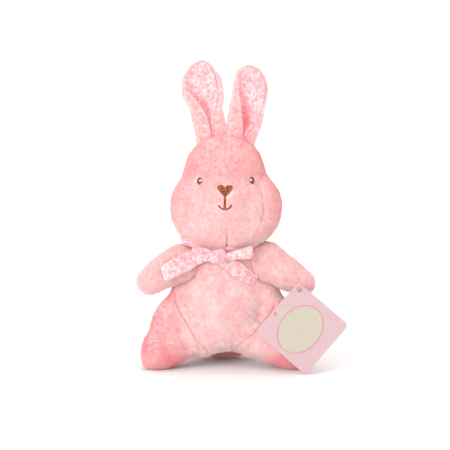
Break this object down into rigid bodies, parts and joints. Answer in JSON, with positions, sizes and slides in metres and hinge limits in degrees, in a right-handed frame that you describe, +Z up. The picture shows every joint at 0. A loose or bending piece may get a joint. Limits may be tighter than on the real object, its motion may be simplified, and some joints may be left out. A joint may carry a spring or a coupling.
{
  "type": "stuffed bunny rabbit",
  "caption": "Small seated plush rabbit with printed-lined ears, embroidered face, ribbon bow at the neck and a square card hang tag on one hand.",
  "frame": {"origin": "middle of the flat seat, under the back of the body, on which it sits together with both feet", "axes": "+Z up through the head, -Y the way the toy looks, +X the toy's own left side"},
  "size_m": [0.1642, 0.1049, 0.2414],
  "materials": {
    "plush": "short-pile plush",
    "printed_cotton": "floral print",
    "stuffing": "polyester fibre",
    "bean_bag": "pellets in a cloth bag",
    "thread": "satin stitch",
    "white_thread": "satin stitch",
    "card": "matt printed card",
    "wire": "clear nylon"
  },
  "bodies": {
    "body": {"belly_panel": "plush", "side_panel_left": "plush", "side_panel_right": "plush", "back_panel": "plush", "seat_panel": "plush", "body_filling": "stuffing", "bean_bag": "bean_bag", "fluffy_tail": "plush", "shoulder_seam_left": "plush", "shoulder_seam_right": "plush", "hip_seam_left": "plush", "hip_seam_right": "plush", "ribbon_neckband": "printed_cotton", "ribbon_knot": "printed_cotton", "ribbon_loop_left": "printed_cotton", "ribbon_loop_right": "printed_cotton"},
    "neck": {"neck_ball": "stuffing"},
    "head": {"face_panel_left": "plush", "face_panel_right": "plush", "cheek_panel_left": "plush", "cheek_panel_right": "plush", "head_back_panel": "plush", "head_filling": "stuffing", "eye_left": "thread", "eye_right": "thread", "eye_glint_left": "white_thread", "eye_glint_right": "white_thread", "nose": "thread", "mouth": "thread", "ear_seam_left": "plush", "ear_seam_right": "plush"},
    "ear_left": {"ear_plush_left": "plush", "ear_lining_left": "printed_cotton"},
    "ear_right": {"ear_plush_right": "plush", "ear_lining_right": "printed_cotton"},
    "arm_left": {"arm_front_left": "plush", "arm_back_left": "plush", "arm_filling_left": "stuffing", "tag_fastener": "wire"},
    "arm_right": {"arm_front_right": "plush", "arm_back_right": "plush", "arm_filling_right": "stuffing"},
    "leg_left": {"leg_front_left": "plush", "leg_back_left": "plush", "leg_filling_left": "stuffing"},
    "leg_right": {"leg_front_right": "plush", "leg_back_right": "plush", "leg_filling_right": "stuffing"},
    "bow_tail_left": {"ribbon_tail_left": "printed_cotton"},
    "bow_tail_right": {"ribbon_tail_right": "printed_cotton"},
    "tag": {"hang_tag": "card"}
  },
  "joints": [
    {"name": "head_turn", "type": "hinge", "parent": "body", "child": "neck", "pos_m": [0, -0.02, 0.1], "axis": [0, 0, 1], "range_deg": [-30, 30], "stiffness_Nm_per_rad": 0.12},
    {"name": "head_nod", "type": "hinge", "parent": "neck", "child": "head", "pos_m": [0, -0.02, 0.1], "axis": [-1, 0, 0], "range_deg": [-8, 10], "stiffness_Nm_per_rad": 0.35},
    {"name": "ear_flop_left", "type": "hinge", "parent": "head", "child": "ear_left", "pos_m": [0.012, -0.016, 0.1831], "axis": [0.9798, 0, -0.2], "range_deg": [-20, 30], "stiffness_Nm_per_rad": 0.02},
    {"name": "ear_flop_right", "type": "hinge", "parent": "head", "child": "ear_right", "pos_m": [-0.012, -0.016, 0.1831], "axis": [0.9798, 0, 0.2], "range_deg": [-20, 30], "stiffness_Nm_per_rad": 0.02},
    {"name": "arm_swing_left", "type": "hinge", "parent": "body", "child": "arm_left", "pos_m": [0.0301, -0.023, 0.08], "axis": [0.3903, 0, -0.9207], "range_deg": [-8, 20], "stiffness_Nm_per_rad": 0.05},
    {"name": "arm_swing_right", "type": "hinge", "parent": "body", "child": "arm_right", "pos_m": [-0.0301, -0.023, 0.08], "axis": [0.3903, 0, 0.9207], "range_deg": [-8, 20], "stiffness_Nm_per_rad": 0.05},
    {"name": "leg_swing_left", "type": "hinge", "parent": "body", "child": "leg_left", "pos_m": [0.0386, -0.0366, 0.03], "axis": [-0.2401, -0.0901, -0.9666], "range_deg": [-15, 10], "stiffness_Nm_per_rad": 0.1},
    {"name": "leg_swing_right", "type": "hinge", "parent": "body", "child": "leg_right", "pos_m": [-0.0386, -0.0366, 0.03], "axis": [-0.2401, 0.0901, 0.9666], "range_deg": [-15, 10], "stiffness_Nm_per_rad": 0.1},
    {"name": "bow_tail_flap_left", "type": "hinge", "parent": "body", "child": "bow_tail_left", "pos_m": [-0.00241, -0.0548, 0.08459], "axis": [-0.5888, 0, -0.8083], "range_deg": [0, 50]},
    {"name": "bow_tail_flap_right", "type": "hinge", "parent": "body", "child": "bow_tail_right", "pos_m": [-0.01364, -0.0534, 0.08858], "axis": [-0.28, 0, 0.96], "range_deg": [0, 50]},
    {"name": "tag_swing", "type": "hinge", "parent": "arm_left", "child": "tag", "pos_m": [0.0572, -0.052, 0.0635], "axis": [-1, 0, 0], "range_deg": [0, 40]}
  ]
}
